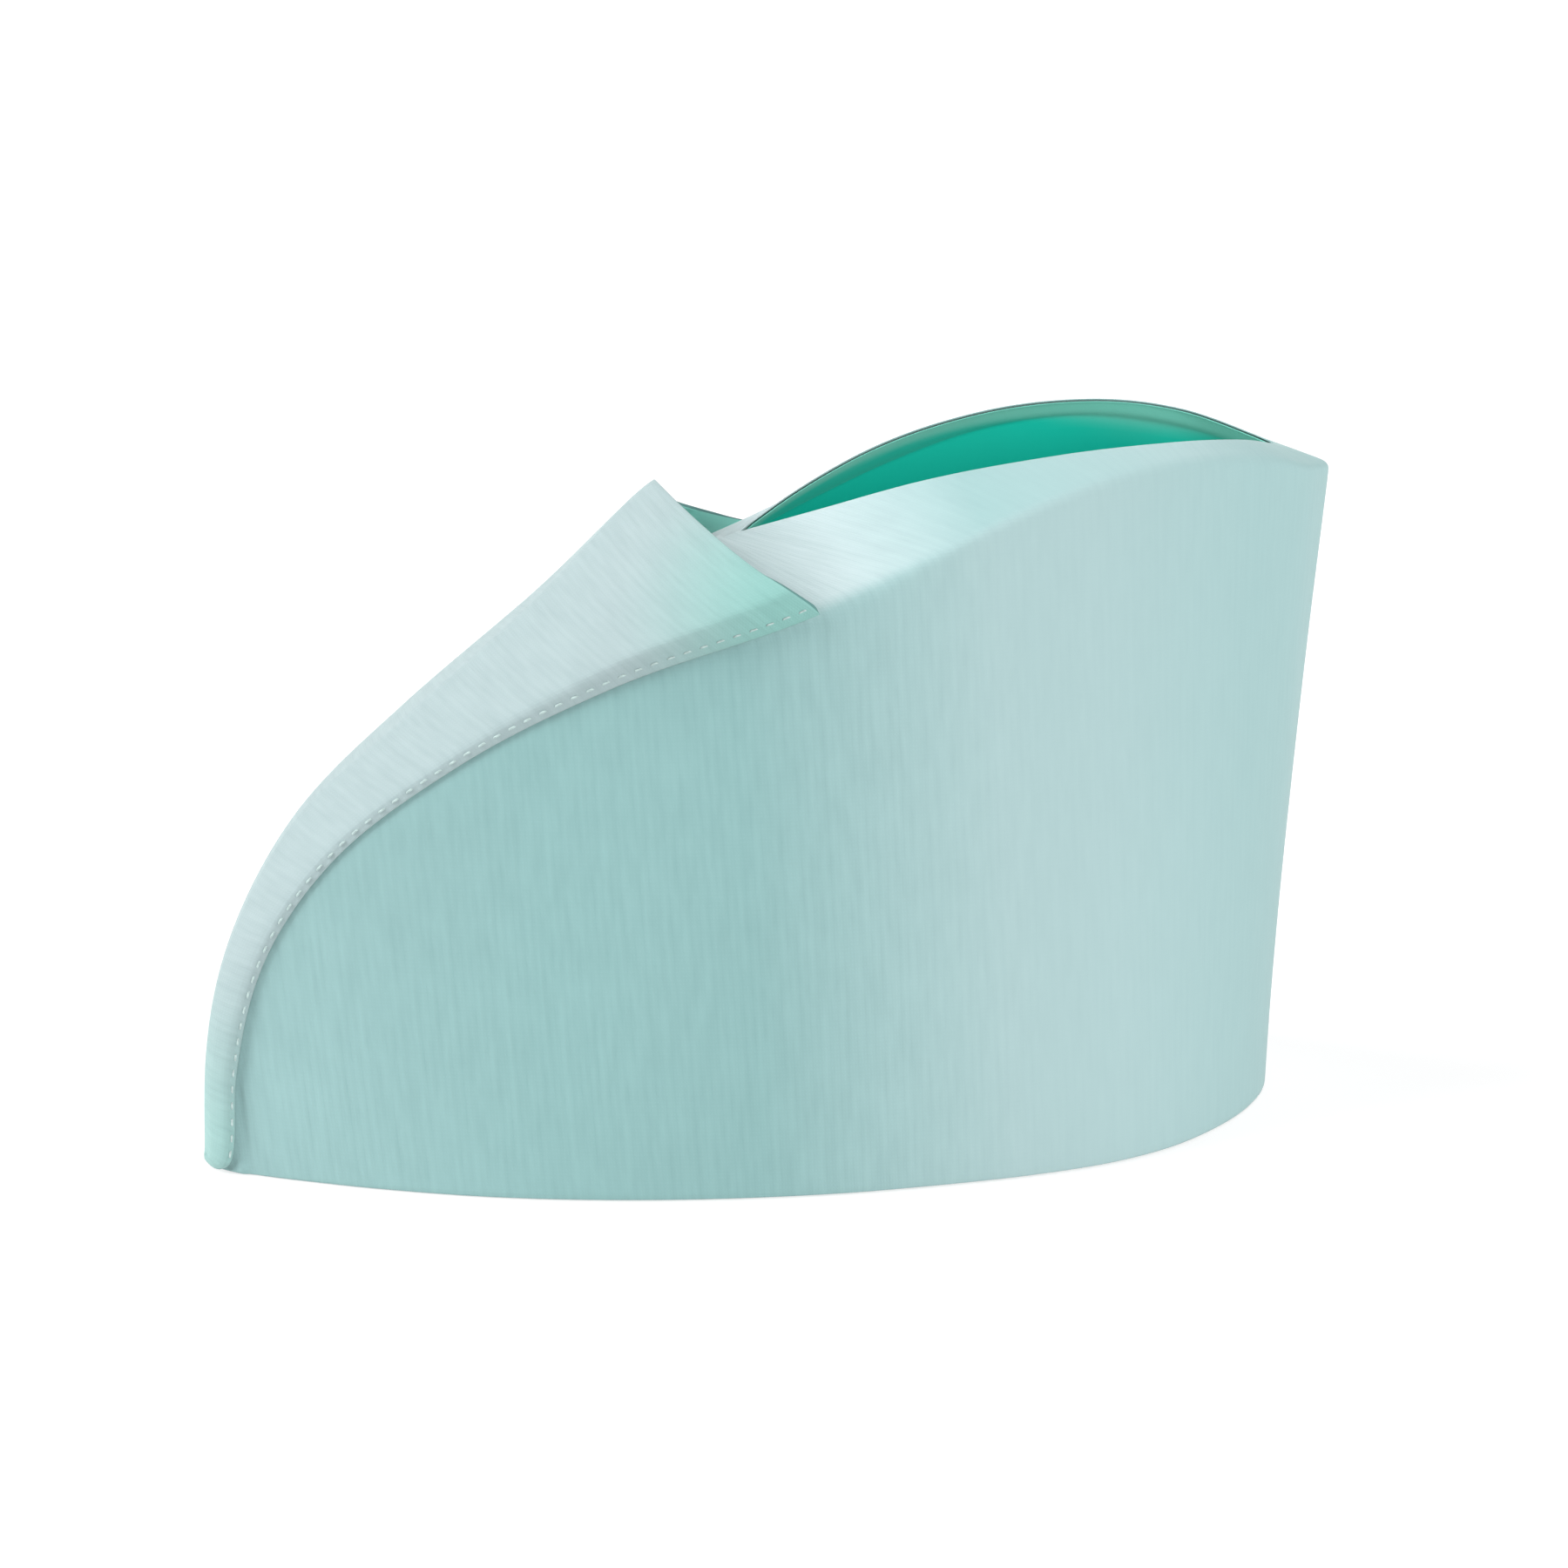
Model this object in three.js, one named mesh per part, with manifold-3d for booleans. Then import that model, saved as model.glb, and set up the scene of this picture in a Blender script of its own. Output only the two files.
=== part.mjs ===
// Nurse cap of stiff cloth, standing on its hem: a tall band whose top folds inwards,
// a lining inside it, and a flap that covers the back and stands up in a peak.
// Millimetres, +Z up, +X to the front, +Y to the wearer's left.

import * as THREE from 'three';
import { mergeVertices } from 'three/addons/utils/BufferGeometryUtils.js';
import Module from 'manifold-3d';

const wasm = await Module();
wasm.setup();

// Driving dimensions
const hemLength = 238.7;    // hem ring, back tip to front
const hemWidth = 119;       // hem ring, side to side at its widest
const capHeight = 148.5;    // hem to the top of the opening's rim
const frontFlare = 14;      // how far the top of the front leans out past the hem
const foldWidth = 76.6;     // side to side where the top folds inwards
const openingWidth = 50;    // the open top, side to side
const flapLift = 17;        // how far the flap's free end stands off the folded top
const flapBulge = 13;       // how far the flap's free end is rounded outwards
const bandWall = 1.2;       // cloth of the band
const liningWall = 1;       // cloth of the lining
const flapWall = 1.5;       // cloth of the flap
const layerGap = 0.3;       // between two layers of cloth
const foldSoftness = 4;     // how far each side of the fold is rounded
const liningRise = 4;       // bottom edge of the lining above the hem
const liningSetback = 0.3;  // top edge of the lining back from the rim

// Way that the flap's free end stands off: up, and towards the back
const liftWay = new THREE.Vector3(-0.7, 0, 0.72);
// Way that its middle is rounded: sideways, and a little towards the back
const bulgeWay = new THREE.Vector3(-0.37, -0.92, -0.14);

// Sections of one half of the cap, from the back tip to the front.
// along: share of the way round. hemX: share of hemLength. foldX, rimX: shares of the
// length at the top. hemY, foldY, rimY: shares of half of hemWidth, foldWidth and
// openingWidth. foldZ, rimZ: shares of capHeight. fullness: how far the folded top
// bulges. lift: share of flapLift.
const columns = [
  'along', 'hemX', 'hemY', 'foldX', 'foldY', 'foldZ', 'rimX', 'rimY', 'rimZ', 'fullness', 'lift',
];
const sectionTable = [
  [0.000, 0.000, 0.000, 0.000, 0.000, 0.008, 0.000, 0.000, 0.018, 1.0, 0.00],
  [0.020, 0.012, 0.087, 0.011, 0.131, 0.010, 0.000, 0.000, 0.024, 1.0, 0.00],
  [0.070, 0.028, 0.145, 0.019, 0.157, 0.148, 0.002, 0.000, 0.155, 1.0, 0.00],
  [0.150, 0.064, 0.257, 0.044, 0.256, 0.327, 0.025, 0.000, 0.327, 0.7, 0.00],
  [0.230, 0.127, 0.429, 0.100, 0.399, 0.475, 0.080, 0.000, 0.492, 0.3, 0.00],
  [0.320, 0.219, 0.634, 0.197, 0.574, 0.606, 0.177, 0.000, 0.622, 0.3, 0.07],
  [0.430, 0.349, 0.830, 0.321, 0.770, 0.715, 0.302, 0.000, 0.747, 0.3, 0.40],
  [0.565, 0.520, 0.971, 0.491, 0.971, 0.812, 0.440, 0.000, 0.869, 0.2, 1.00],
  [0.620, 0.583, 0.990, 0.555, 1.000, 0.858, 0.462, 0.000, 0.875, 0.0, 1.00],
  [0.655, 0.629, 0.998, 0.598, 0.995, 0.888, 0.523, 0.352, 0.914, 0.0, 1.00],
  [0.695, 0.680, 0.998, 0.646, 0.977, 0.919, 0.594, 0.648, 0.954, 0.0, 1.00],
  [0.765, 0.772, 0.956, 0.737, 0.922, 0.964, 0.713, 0.952, 0.992, 0.0, 1.00],
  [0.835, 0.855, 0.824, 0.824, 0.809, 0.978, 0.816, 0.960, 1.000, 0.0, 1.00],
  [0.905, 0.939, 0.555, 0.913, 0.548, 0.956, 0.891, 0.680, 0.986, 0.0, 1.00],
  [0.965, 0.985, 0.261, 0.974, 0.261, 0.924, 0.937, 0.212, 0.960, 0.0, 1.00],
  [1.000, 1.000, 0.000, 1.000, 0.000, 0.916, 0.948, 0.000, 0.952, 0.0, 1.00],
];
const flapEnd = 0.565;       // share of the way round where the flap ends
const openingStart = 0.62;   // share of the way round where the open top begins

const sections = sectionTable.map(
  (row) => Object.fromEntries(columns.map((name, i) => [name, row[i]])),
);

// The section one past each end is the mirror of the one before it
function sectionNumber(index) {
  const last = sections.length - 1;
  if (index < 0 || index > last) {
    const middle = index < 0 ? 0 : last;
    const mirrored = { ...sections[2 * middle - index] };
    mirrored.along = 2 * sections[middle].along - mirrored.along;
    for (const name of ['hemY', 'foldY', 'rimY']) {
      mirrored[name] = -mirrored[name];
    }
    return mirrored;
  }
  return sections[index];
}

// Smooth value of one column between two sections
function smoothValue(name, index, along) {
  const [before, start, end, after] = [-1, 0, 1, 2].map((step) => sectionNumber(index + step));
  const span = end.along - start.along;
  const rate = (end[name] - start[name]) / span;
  const slope = (a, b, c) => {
    const lead = (b[name] - a[name]) / (b.along - a.along) * (c.along - b.along);
    const trail = (c[name] - b[name]) / (c.along - b.along) * (b.along - a.along);
    return (lead + trail) / (c.along - a.along);
  };
  const startSlope = slope(before, start, end);
  const endSlope = slope(start, end, after);
  const t = (along - start.along) / span;
  const bend = (1 - t) * (startSlope - rate) - t * (endSlope - rate);
  return start[name] + rate * span * t + span * t * (1 - t) * bend;
}

// Real sizes of the section at one share of the way round
function sectionAt(along) {
  const last = sections.length - 2;
  let index = 0;
  while (index < last && sections[index + 1].along <= along) {
    index += 1;
  }
  const share = Object.fromEntries(columns.map((name) => [name, smoothValue(name, index, along)]));
  const topLength = hemLength + frontFlare;
  const rimY = along <= openingStart ? 0 : Math.max(0, share.rimY);
  return {
    hem: new THREE.Vector3(share.hemX * hemLength, -share.hemY * hemWidth / 2, 0),
    fold: new THREE.Vector3(
      share.foldX * topLength, -share.foldY * foldWidth / 2, share.foldZ * capHeight),
    rim: new THREE.Vector3(
      share.rimX * topLength, -rimY * openingWidth / 2, share.rimZ * capHeight),
    fullness: share.fullness,
    lift: share.lift,
  };
}

// Point between three others: a parabola from a to c that leaves towards b
function parabola(a, b, c, t) {
  const point = a.clone().multiplyScalar((1 - t) ** 2);
  point.addScaledVector(b, 2 * t * (1 - t));
  return point.addScaledVector(c, t * t);
}

// Where the folded top heads for as it leaves the fold, as shares of its run:
// flat tops head for the middle, full ones rise first and turn in later
function bulgePoint(section) {
  const { fold, rim, fullness } = section;
  return new THREE.Vector3(
    THREE.MathUtils.lerp(fold.x, rim.x, 0.5 + 0.2 * fullness),
    THREE.MathUtils.lerp(fold.y, rim.y, 0.5 - 0.45 * fullness),
    THREE.MathUtils.lerp(fold.z, rim.z, 0.5 - 0.13 * fullness),
  );
}

// Outer face of the band. Level 0 is the hem, 1 to 2 the soft fold, 3 the rim, and
// below 0 the wall runs on downwards, one level to a millimetre.
const softLimit = 0.35;      // a fold takes at most this share of a short wall
function bandPoint(along, level) {
  const mirrored = along < 0 || along > 1;
  const section = sectionAt(mirrored ? (along < 0 ? -along : 2 - along) : along);
  const { hem, fold, rim } = section;
  const wallRun = hem.distanceTo(fold);
  const topRun = fold.distanceTo(rim);
  const foldStart = fold.clone().lerp(hem, Math.min(foldSoftness / wallRun, softLimit));
  const topStart = Math.min(foldSoftness / topRun, softLimit);
  const bulge = bulgePoint(section);
  let point;
  if (level <= 0) {
    point = hem.clone();
    point.z += level;
  } else if (level <= 1) {
    point = hem.clone().lerp(foldStart, level);
  } else if (level <= 2) {
    point = parabola(foldStart, fold, parabola(fold, bulge, rim, topStart), level - 1);
  } else {
    point = parabola(fold, bulge, rim, THREE.MathUtils.lerp(topStart, 1, level - 2));
  }
  if (mirrored) {
    point.y = -point.y;
  }
  return point;
}

// Outward direction of the band's face; on the middle plane it has no sideways part
const probe = 1e-4;
function bandNormal(along, level) {
  const top = Math.min(level + probe, 3);
  const round = bandPoint(along + probe, level).sub(bandPoint(along - probe, level));
  const up = bandPoint(along, top).sub(bandPoint(along, level - probe));
  const normal = round.cross(up);
  if (level >= 3 && along <= openingStart) {
    normal.y = 0;
  }
  return normal.normalize();
}

// Point of a layer of cloth, so far out of the band's outer face
function layerPoint(along, level, out) {
  return bandPoint(along, level).addScaledVector(bandNormal(along, level), out);
}

// Closed shell between two faces. Each face gives a point for a share of the way round
// and a level; the other half of the cap is its mirror. The two halves meet where the
// rim lies on the middle plane.
function shellGeometry(alongs, levels, outerPoint, innerPoint) {
  const last = levels.length - 1;
  const half = alongs.length - 1;
  const grid = (facePoint) => {
    const near = alongs.map((along) => levels.map((level) => facePoint(along, level).toArray()));
    const far = near.map((line) => line.map(([x, y, z]) => [x, -y, z]));
    return { near, far };
  };
  const outer = grid(outerPoint);
  const inner = grid(innerPoint);
  const corners = [];
  const quad = (a, b, c, d) => corners.push(...a, ...b, ...d, ...b, ...c, ...d);
  const side = (outside, inside, turned) => {
    const place = (a, b, c, d) => (turned ? quad(a, d, c, b) : quad(a, b, c, d));
    for (let i = 0; i < half; i += 1) {
      for (let j = 0; j < last; j += 1) {
        place(outside[i][j], outside[i + 1][j], outside[i + 1][j + 1], outside[i][j + 1]);
        place(inside[i][j], inside[i][j + 1], inside[i + 1][j + 1], inside[i + 1][j]);
      }
      place(inside[i][0], inside[i + 1][0], outside[i + 1][0], outside[i][0]);
      if (alongs[i + 1] > openingStart) {
        place(outside[i][last], outside[i + 1][last], inside[i + 1][last], inside[i][last]);
      }
    }
    if (alongs[half] < 1) {
      for (let j = 0; j < last; j += 1) {
        const end = [outside[half], inside[half]];
        place(end[0][j], end[1][j], end[1][j + 1], end[0][j + 1]);
      }
    }
  };
  side(outer.near, inner.near, false);
  side(outer.far, inner.far, true);
  const geometry = new THREE.BufferGeometry();
  geometry.setAttribute('position', new THREE.Float32BufferAttribute(corners, 3));
  return dropFlatFaces(mergeVertices(geometry, 1e-4));
}

// Faces that lost a corner when shared vertices were merged have no area
function dropFlatFaces(geometry) {
  const index = geometry.getIndex().array;
  const kept = [];
  for (let i = 0; i < index.length; i += 3) {
    const [a, b, c] = [index[i], index[i + 1], index[i + 2]];
    if (a !== b && b !== c && c !== a) {
      kept.push(a, b, c);
    }
  }
  geometry.setIndex(kept);
  return geometry;
}

// Solid of a closed geometry, and back
function solidOf(geometry) {
  const merged = geometry.clone();
  merged.deleteAttribute('normal');
  merged.deleteAttribute('uv');
  const shared = mergeVertices(merged, 1e-4);
  return new wasm.Manifold(new wasm.Mesh({
    numProp: 3,
    vertProperties: new Float32Array(shared.getAttribute('position').array),
    triVerts: new Uint32Array(shared.getIndex().array),
  }));
}

function geometryOf(solid) {
  const mesh = solid.getMesh();
  const geometry = new THREE.BufferGeometry();
  geometry.setAttribute('position', new THREE.BufferAttribute(mesh.vertProperties, 3));
  geometry.setIndex(new THREE.BufferAttribute(mesh.triVerts, 1));
  geometry.computeVertexNormals();
  return geometry;
}

// The layer's bottom edge is cut level at one height above the floor
function cutLevel(geometry, height) {
  const depth = 20;
  const below = new THREE.BoxGeometry(2 * hemLength, 2 * hemWidth, depth);
  below.translate(hemLength / 2, 0, height - depth / 2);
  return geometryOf(solidOf(geometry).subtract(solidOf(below)));
}

// Shares of the way round that are modelled: close together round the back tip, one on
// the flap's end, one where the opening starts
function roundShares(from, to, steps, crowding) {
  return Array.from({ length: steps }, (_, i) => from + (to - from) * (i / steps) ** crowding);
}
const backShares = roundShares(0, flapEnd, 22, 1.4);
const sideShares = roundShares(flapEnd, openingStart, 2, 1);
const frontShares = roundShares(openingStart, 1, 20, 1);
const wholeRound = [...backShares, ...sideShares, ...frontShares, 1];
const flapRound = [...backShares, flapEnd];

const foldLevels = [1, 1.5, 2];
const topLevels = [2.25, 2.5, 2.75, 3];
const skirtLevel = -2;

function bandGeometry() {
  const levels = [skirtLevel, 0, 0.5, ...foldLevels, ...topLevels];
  const shell = shellGeometry(
    wholeRound, levels,
    (along, level) => layerPoint(along, level, 0),
    (along, level) => layerPoint(along, level, -bandWall),
  );
  return cutLevel(shell, 0);
}

// The lining stops a little short of the band's rim
function liningLevel(along, level) {
  if (level <= 2 || along <= openingStart) {
    return level;
  }
  const { fold, rim } = sectionAt(along);
  return 2 + (level - 2) * (1 - liningSetback / fold.distanceTo(rim));
}

function liningGeometry() {
  const levels = [skirtLevel, 0, 0.5, ...foldLevels, ...topLevels];
  const outside = -(bandWall + layerGap);
  const inside = outside - liningWall;
  const shell = shellGeometry(
    wholeRound, levels,
    (along, level) => layerPoint(along, liningLevel(along, level), outside),
    (along, level) => layerPoint(along, liningLevel(along, level), inside),
  );
  return cutLevel(shell, liningRise);
}

// The flap starts half way round the fold, and lifts off the top towards its ridge
const flapStart = foldLevels[1];
function flapPoint(along, level, out) {
  const { lift } = sectionAt(along);
  const rise = (level - flapStart) / (3 - flapStart);
  const point = layerPoint(along, level, out);
  point.addScaledVector(liftWay, rise * lift * flapLift);
  return point.addScaledVector(bulgeWay, 2 * rise * (1 - rise) * lift * flapBulge);
}

function flapGeometry() {
  return shellGeometry(
    flapRound, [flapStart, foldLevels[2], ...topLevels],
    (along, level) => flapPoint(along, level, layerGap + flapWall),
    (along, level) => flapPoint(along, level, layerGap),
  );
}

function clothMesh(name, geometry, color) {
  geometry.computeVertexNormals();
  const material = new THREE.MeshStandardMaterial({ color, roughness: 0.9, metalness: 0 });
  const mesh = new THREE.Mesh(geometry, material);
  mesh.name = name;
  return mesh;
}

const cap = new THREE.Group();
cap.add(clothMesh('band', bandGeometry(), '#b0d4d4'));
cap.add(clothMesh('lining', liningGeometry(), '#12a78c'));
cap.add(clothMesh('back_flap', flapGeometry(), '#c6e0e2'));

// The origin is under the middle of the cap, on the floor
const extent = new THREE.Box3().setFromObject(cap, true);
cap.position.x = -(extent.min.x + extent.max.x) / 2;

export default cap;
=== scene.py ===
# Nurse cap of stiff cloth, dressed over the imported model.
# The band, its lining and the back flap are built as fine cloth from one table of
# sections. Metres, +Z up, +X to the front, +Y to the wearer's left.

import math

import bmesh
import bpy
import numpy as np
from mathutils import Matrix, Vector, noise


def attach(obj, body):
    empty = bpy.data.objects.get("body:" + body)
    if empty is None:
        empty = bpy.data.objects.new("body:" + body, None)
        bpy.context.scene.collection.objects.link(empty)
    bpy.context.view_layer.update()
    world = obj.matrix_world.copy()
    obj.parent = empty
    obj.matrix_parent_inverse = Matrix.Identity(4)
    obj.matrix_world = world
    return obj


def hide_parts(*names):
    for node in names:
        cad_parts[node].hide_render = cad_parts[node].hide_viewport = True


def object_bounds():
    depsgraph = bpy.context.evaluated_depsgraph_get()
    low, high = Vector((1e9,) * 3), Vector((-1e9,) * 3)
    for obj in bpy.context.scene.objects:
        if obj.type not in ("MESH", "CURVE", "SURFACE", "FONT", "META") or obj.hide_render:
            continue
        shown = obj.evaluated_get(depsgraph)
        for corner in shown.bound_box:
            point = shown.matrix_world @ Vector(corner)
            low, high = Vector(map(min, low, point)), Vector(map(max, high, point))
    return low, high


bl_info = {
    "name": "Nurse Cap",
    "version": (1, 0, 0),
    "blender": (4, 5, 0),
    "location": "3D View > Sidebar > Nurse Cap",
    "description": "Makes a stiff cloth nurse cap with a teal lining and a back flap",
    "category": "Add Mesh",
}

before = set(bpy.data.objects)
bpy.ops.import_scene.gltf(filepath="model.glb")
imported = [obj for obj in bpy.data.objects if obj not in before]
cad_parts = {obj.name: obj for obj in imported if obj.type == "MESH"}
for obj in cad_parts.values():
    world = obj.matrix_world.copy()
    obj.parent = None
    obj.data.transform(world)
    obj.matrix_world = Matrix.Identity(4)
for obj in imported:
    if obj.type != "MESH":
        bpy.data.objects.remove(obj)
cad_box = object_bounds()

# Sections of one half of the cap, from the back tip to the front.
# along: share of the way round. hem_x: share of the hem's length. fold_x, rim_x: shares
# of the length at the top. hem_y, fold_y, rim_y: shares of half of the hem's, the fold's
# and the opening's width. fold_z, rim_z: shares of the height. fullness: how far the
# folded top bulges. lift: share of the flap's lift.
COLUMNS = (
    "along", "hem_x", "hem_y", "fold_x", "fold_y", "fold_z",
    "rim_x", "rim_y", "rim_z", "fullness", "lift",
)
SECTIONS = np.array((
    (0.000, 0.000, 0.000, 0.000, 0.000, 0.008, 0.000, 0.000, 0.018, 1.0, 0.00),
    (0.020, 0.012, 0.087, 0.011, 0.131, 0.010, 0.000, 0.000, 0.024, 1.0, 0.00),
    (0.070, 0.028, 0.145, 0.019, 0.157, 0.148, 0.002, 0.000, 0.155, 1.0, 0.00),
    (0.150, 0.064, 0.257, 0.044, 0.256, 0.327, 0.025, 0.000, 0.327, 0.7, 0.00),
    (0.230, 0.127, 0.429, 0.100, 0.399, 0.475, 0.080, 0.000, 0.492, 0.3, 0.00),
    (0.320, 0.219, 0.634, 0.197, 0.574, 0.606, 0.177, 0.000, 0.622, 0.3, 0.07),
    (0.430, 0.349, 0.830, 0.321, 0.770, 0.715, 0.302, 0.000, 0.747, 0.3, 0.40),
    (0.565, 0.520, 0.971, 0.491, 0.971, 0.812, 0.440, 0.000, 0.869, 0.2, 1.00),
    (0.620, 0.583, 0.990, 0.555, 1.000, 0.858, 0.462, 0.000, 0.875, 0.0, 1.00),
    (0.655, 0.629, 0.998, 0.598, 0.995, 0.888, 0.523, 0.352, 0.914, 0.0, 1.00),
    (0.695, 0.680, 0.998, 0.646, 0.977, 0.919, 0.594, 0.648, 0.954, 0.0, 1.00),
    (0.765, 0.772, 0.956, 0.737, 0.922, 0.964, 0.713, 0.952, 0.992, 0.0, 1.00),
    (0.835, 0.855, 0.824, 0.824, 0.809, 0.978, 0.816, 0.960, 1.000, 0.0, 1.00),
    (0.905, 0.939, 0.555, 0.913, 0.548, 0.956, 0.891, 0.680, 0.986, 0.0, 1.00),
    (0.965, 0.985, 0.261, 0.974, 0.261, 0.924, 0.937, 0.212, 0.960, 0.0, 1.00),
    (1.000, 1.000, 0.000, 1.000, 0.000, 0.916, 0.948, 0.000, 0.952, 0.0, 1.00),
))
MIRRORED_COLUMNS = ("hem_y", "fold_y", "rim_y")
BACK_TIP_X = -0.125244
FLAP_END = 0.565
OPENING_START = 0.62
SOFT_LIMIT = 0.35

# The fold is pressed sharper along the open top, and more so at the front: how much of
# its softness goes, and the shares of the way round between which it does.
PRESSED_SIDE = (0.4, 0.58, 0.68)
PRESSED_FRONT = (0.25, 0.9, 1.0)

# Where the side bends out the most, and how wide that bend is, as shares of the way round
BEND_MIDDLE = 0.50
BEND_SPREAD = 0.11

# Level 0 is the hem, 1 to 2 the soft fold, 3 the rim. The flap starts on the fold.
FLAP_START_LEVEL = 1.5
LIFT_WAY = np.array((-0.7, 0.0, 0.72))
BULGE_WAY = np.array((-0.37, -0.92, -0.14))

# At its near corner the flap's underside reaches this far past the outer face.
UNDERSIDE_REACH = np.array((0.0014, 0.0, 0.0009))

# Sections crowd at the back tip, and the lining's rows at the fold.
TIP_CROWDING = 1.15
FOLD_CROWDING = 1.6

# Rows of points lie this close to an edge, as a level at the hem and as a length at the rim.
HEM_ROW_LEVEL = 0.007
EDGE_ROW = 0.0006

# Each half's inner face keeps this far from the middle plane.
MIDDLE_CLEARANCE = 0.00008

# The weave's map has this many units to the metre, and a band of the wave pattern is
# this many units wide at a scale of one.
MAP_UNITS = 10
WAVE_BAND = 0.314

# Painted light on the band at places along the cap, on its wall and on its folded top. The wall is
# painted lighter towards the back tip and the front, where light falls on it, and the top is painted
# lightest beside the flap, over the flap's shadow.
WALL_LIGHT_X = (-0.115, -0.06, -0.02, 0.035, 0.06, 0.1, 0.12)
WALL_PAINTED_LIGHT = (0.12, 0, 0, 0.5, 0.5, 0.3, 0.3)
TOP_LIGHT_X = (0.005, 0.035, 0.085, 0.115)
TOP_PAINTED_LIGHT = (1, 0.2, 0.5, 0.2)

# The lining is painted lighter at its upper edge, as painted light falling in over the rim, and wholly
# teal below the second distance.
LINING_LIGHT_ZONE = (0.0035, 0.0108)

THREAD_RADIUS = 0.00024

# Shares of the upright ribs, the fine threads and the slubs in the weave's relief
RIBS_SHARE = 0.2
THREADS_SHARE = 0.2
SLUBS_SHARE = 0.6

# A Mix node's sockets: the share, then two numbers or two colours, and the mixed colour
MIX_SHARE = 0
NUMBER_A = 2
NUMBER_B = 3
COLOUR_A = 6
COLOUR_B = 7
MIXED_NUMBER = 0
MIXED_COLOUR = 2

# Lights: name, azimuth, elevation and spread in degrees, strength
LIGHTS = (
    ("low left light", -107, 10, 30, 2.4),
    ("high left light", -107, 36, 45, 4.4),
    ("right light", 19, 15, 30, 3.65),
    ("top light", 110, 60, 50, 2.0),
)

# The camera, with angles in degrees and the lens and film in millimetres
CAMERA_AZIMUTH = -17.632
CAMERA_ELEVATION = 16
CAMERA_DISTANCE = 1.1
CAMERA_TARGET = Vector((0.00211, 0, 0.07324))
CAMERA_LENS = 116.8
CAMERA_FILM = 36

FLOOR_RADIUS = 6.0
FLOOR_DROP = 0.0002
FLOOR_GLOW = 0.64


# Shape of the cap


def section_values(along):
    """Smooth value of each column at shares of the way round, one row a share."""
    flip = np.array([-1.0 if name in MIRRORED_COLUMNS else 1.0 for name in COLUMNS])
    before = SECTIONS[1] * flip
    before[0] = -SECTIONS[1][0]
    after = SECTIONS[-2] * flip
    after[0] = 2 * SECTIONS[-1][0] - SECTIONS[-2][0]
    rows = np.vstack([before, SECTIONS, after])
    last = len(SECTIONS) - 2
    start = np.clip(np.searchsorted(SECTIONS[:, 0], along, side="right") - 1, 0, last) + 1
    a, b, c, d = (rows[start + step] for step in (-1, 0, 1, 2))

    def slope(left, middle, right):
        lead = right[:, :1] - middle[:, :1]
        trail = middle[:, :1] - left[:, :1]
        both = (middle - left) / trail * lead + (right - middle) / lead * trail
        return both / (lead + trail)

    span = c[:, :1] - b[:, :1]
    rate = (c - b) / span
    t = (along[:, None] - b[:, :1]) / span
    bend = (1 - t) * (slope(a, b, c) - rate) - t * (slope(b, c, d) - rate)
    return b + rate * span * t + span * t * (1 - t) * bend


def section_points(sizes, along):
    """Hem, fold and rim points of the near half, with the fullness and the lift."""
    value = dict(zip(COLUMNS, section_values(along).T))
    top_length = sizes.hem_length + sizes.front_flare
    rim_y = np.where(along <= OPENING_START, 0.0, np.maximum(0.0, value["rim_y"]))
    hem = np.stack([
        value["hem_x"] * sizes.hem_length,
        -value["hem_y"] * sizes.hem_width / 2,
        0 * along,
    ], axis=1)
    fold = np.stack([
        value["fold_x"] * top_length,
        -value["fold_y"] * sizes.fold_width / 2,
        value["fold_z"] * sizes.cap_height,
    ], axis=1)
    rim = np.stack([
        value["rim_x"] * top_length,
        -rim_y * sizes.opening_width / 2,
        value["rim_z"] * sizes.cap_height,
    ], axis=1)
    return hem, fold, rim, value["fullness"], value["lift"]


def smooth_step(value, start, end):
    """From 0 at the start to 1 at the end, leaving and arriving level."""
    share = np.clip((value - start) / (end - start), 0, 1)
    return share * share * (3 - 2 * share)


def parabola(a, b, c, t):
    """From a to c, leaving towards b."""
    t = t[:, None]
    return a * (1 - t) ** 2 + b * 2 * t * (1 - t) + c * t * t


def band_points(sizes, along, level):
    """Outer face of the band, for flat arrays of shares and levels."""
    mirrored = (along < 0) | (along > 1)
    inside = np.where(along < 0, -along, np.where(along > 1, 2 - along, along))
    hem, fold, rim, fullness, _ = section_points(sizes, inside)
    wall_run = np.linalg.norm(fold - hem, axis=1)
    top_run = np.linalg.norm(rim - fold, axis=1)
    pressed = sum(
        amount * smooth_step(inside, start, end)
        for amount, start, end in (PRESSED_SIDE, PRESSED_FRONT))
    softness = sizes.fold_softness * (1 - pressed)
    wall_soft = np.minimum(softness / wall_run, SOFT_LIMIT)[:, None]
    top_soft = np.minimum(softness / top_run, SOFT_LIMIT)
    fold_start = fold + (hem - fold) * wall_soft
    full = fullness[:, None]
    towards = np.hstack([0.5 + 0.2 * full, 0.5 - 0.45 * full, 0.5 - 0.13 * full])
    bulge = fold + (rim - fold) * towards
    fold_end = parabola(fold, bulge, rim, top_soft)
    step = level[:, None]
    wall = hem + (fold_start - hem) * step
    soft = parabola(fold_start, fold, fold_end, level - 1)
    top = parabola(fold, bulge, rim, top_soft + (1 - top_soft) * (level - 2))
    points = np.where(step <= 1, wall, np.where(step <= 2, soft, top))
    # Past either end of the half the other half goes on, as its mirror image.
    points[:, 1] = np.where(mirrored, -points[:, 1], points[:, 1])
    return points


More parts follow.
